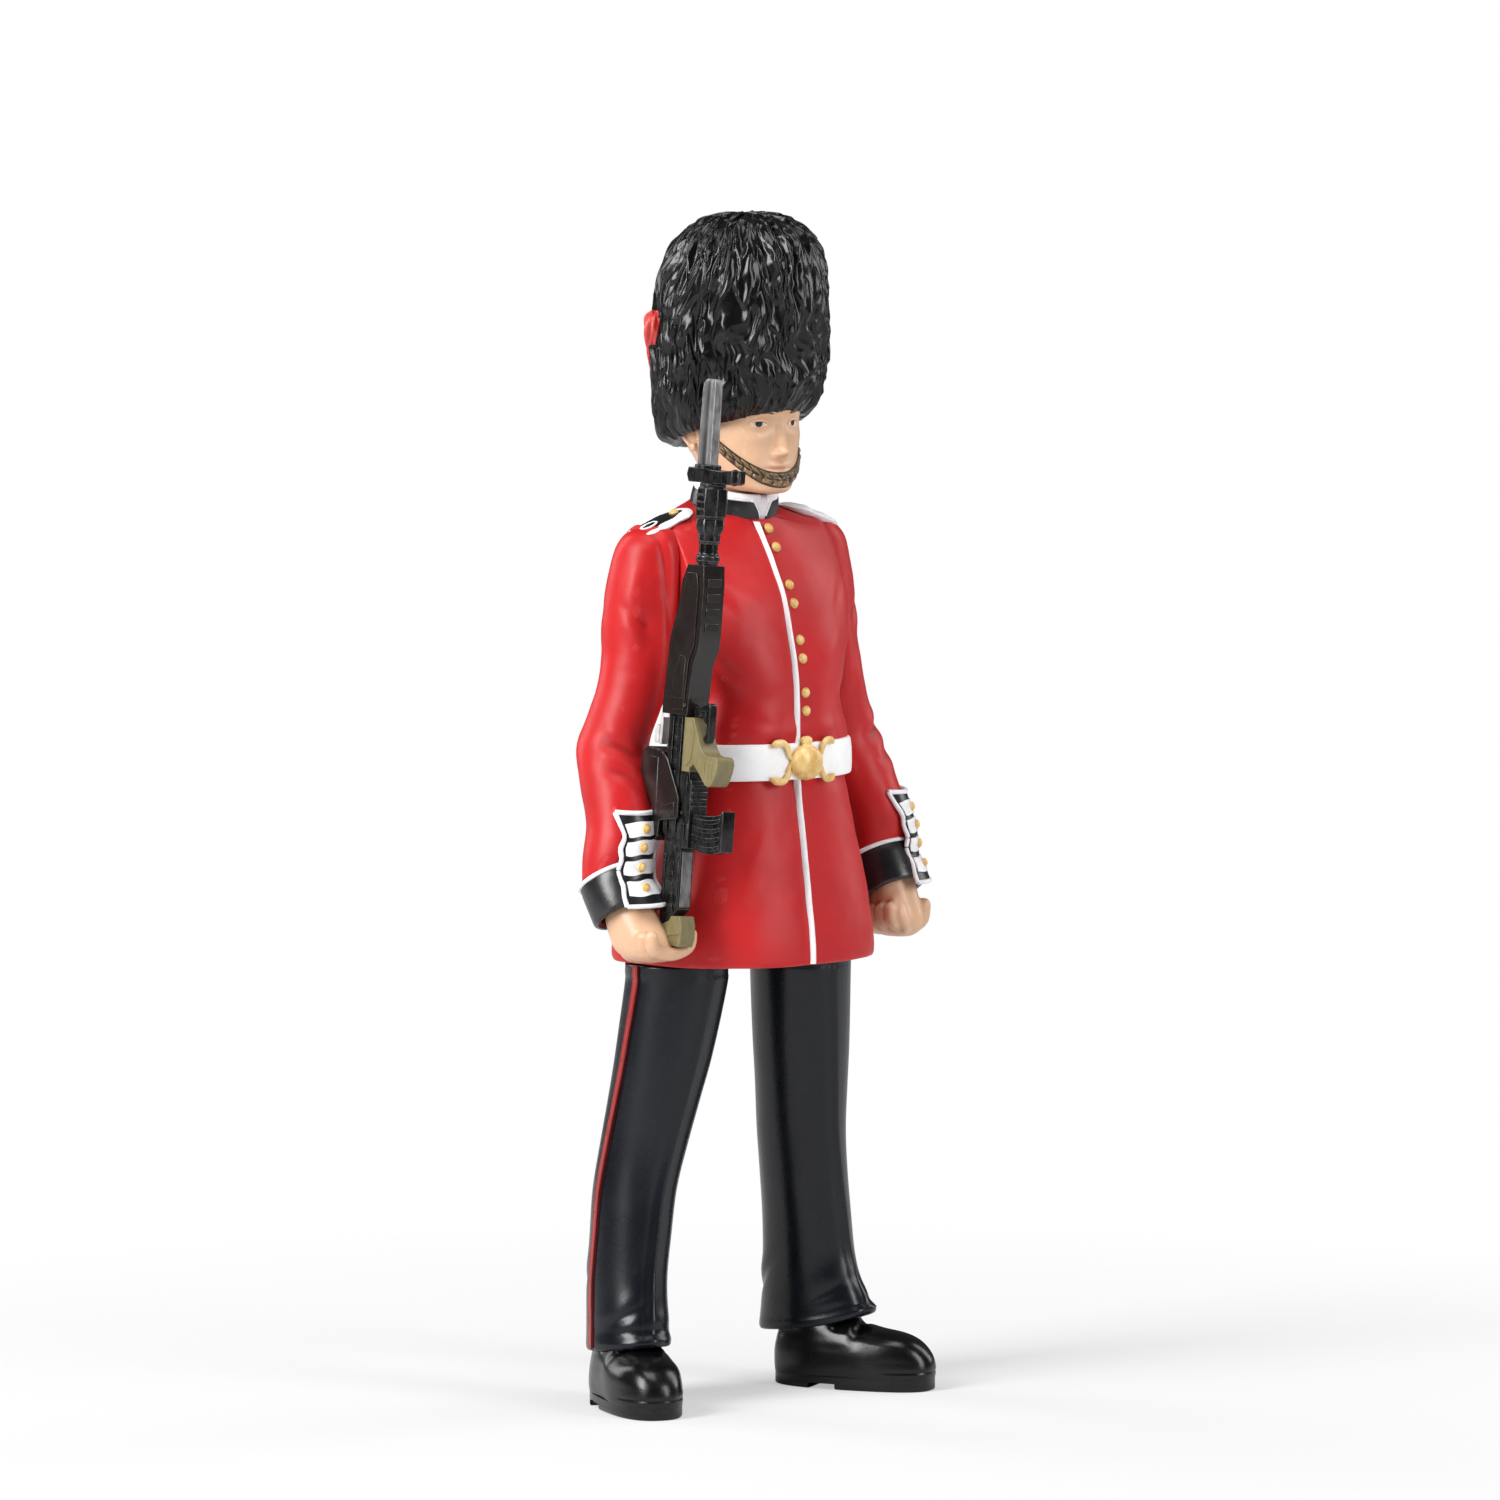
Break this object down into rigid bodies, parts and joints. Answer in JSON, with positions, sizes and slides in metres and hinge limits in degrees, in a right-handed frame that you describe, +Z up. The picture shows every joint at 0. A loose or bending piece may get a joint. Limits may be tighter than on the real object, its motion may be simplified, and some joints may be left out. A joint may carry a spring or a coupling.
{
  "type": "toy soldier figure",
  "caption": "Standing moulded toy soldier in a tall fur cap and belted red tunic, holding a short rifle with fixed bayonet upright at the right arm; free-standing display figure",
  "frame": {"origin": "middle of the figure's outer box, on the ground under the soles", "axes": "+Z up, -Y the way the figure faces, +X the figure's own left"},
  "size_m": [0.0376, 0.022, 0.105],
  "materials": {
    "skin": "satin painted vinyl, light peach",
    "red_cloth": "satin painted vinyl, scarlet with paler brushed highlights",
    "dark_trousers": "satin painted vinyl, blue-black",
    "black_leather": "gloss black painted vinyl",
    "fur": "semi-gloss black sculpted tufts",
    "black_facing": "satin black painted vinyl",
    "white_trim": "satin white paint",
    "gold_trim": "metallic gold paint with a dark wash",
    "red_plume": "satin red paint",
    "gun_black": "semi-gloss brown-black paint with pale dry-brushed edges",
    "gun_olive": "satin olive paint",
    "blade_grey": "brushed metallic grey paint"
  },
  "bodies": {
    "root": {"right_boot": "black_leather", "right_sole": "black_leather", "left_boot": "black_leather", "left_sole": "black_leather", "right_trouser_leg": "dark_trousers", "left_trouser_leg": "dark_trousers", "trouser_stripes": "red_cloth", "tunic_skirt": "red_cloth", "tunic_body": "red_cloth", "front_piping": "white_trim", "tunic_buttons": "gold_trim", "collar": "black_facing", "belt": "white_trim", "belt_buckle": "gold_trim", "right_sleeve": "red_cloth", "left_sleeve": "red_cloth", "right_cuff": "black_facing", "left_cuff": "black_facing", "right_cuff_flap": "black_facing", "left_cuff_flap": "black_facing", "cuff_buttons": "gold_trim", "right_shoulder_strap": "black_facing", "left_shoulder_strap": "black_facing", "shoulder_buttons": "gold_trim", "right_hand": "skin", "left_hand": "skin", "head": "skin", "chin_strap": "gold_trim", "fur_cap": "fur", "plume": "red_plume", "rifle_stock": "gun_black", "butt_pad": "gun_olive", "rifle_receiver": "gun_black", "magazine_housing": "gun_black", "magazine": "gun_black", "pistol_grip": "gun_olive", "trigger_guard": "gun_black", "trigger": "gun_black", "optical_sight": "gun_black", "handguard": "gun_black", "barrel": "gun_black", "rifle_sling": "white_trim", "bayonet_hilt": "gun_black", "bayonet_guard": "gun_black", "bayonet_blade": "blade_grey"}
  },
  "joints": []
}
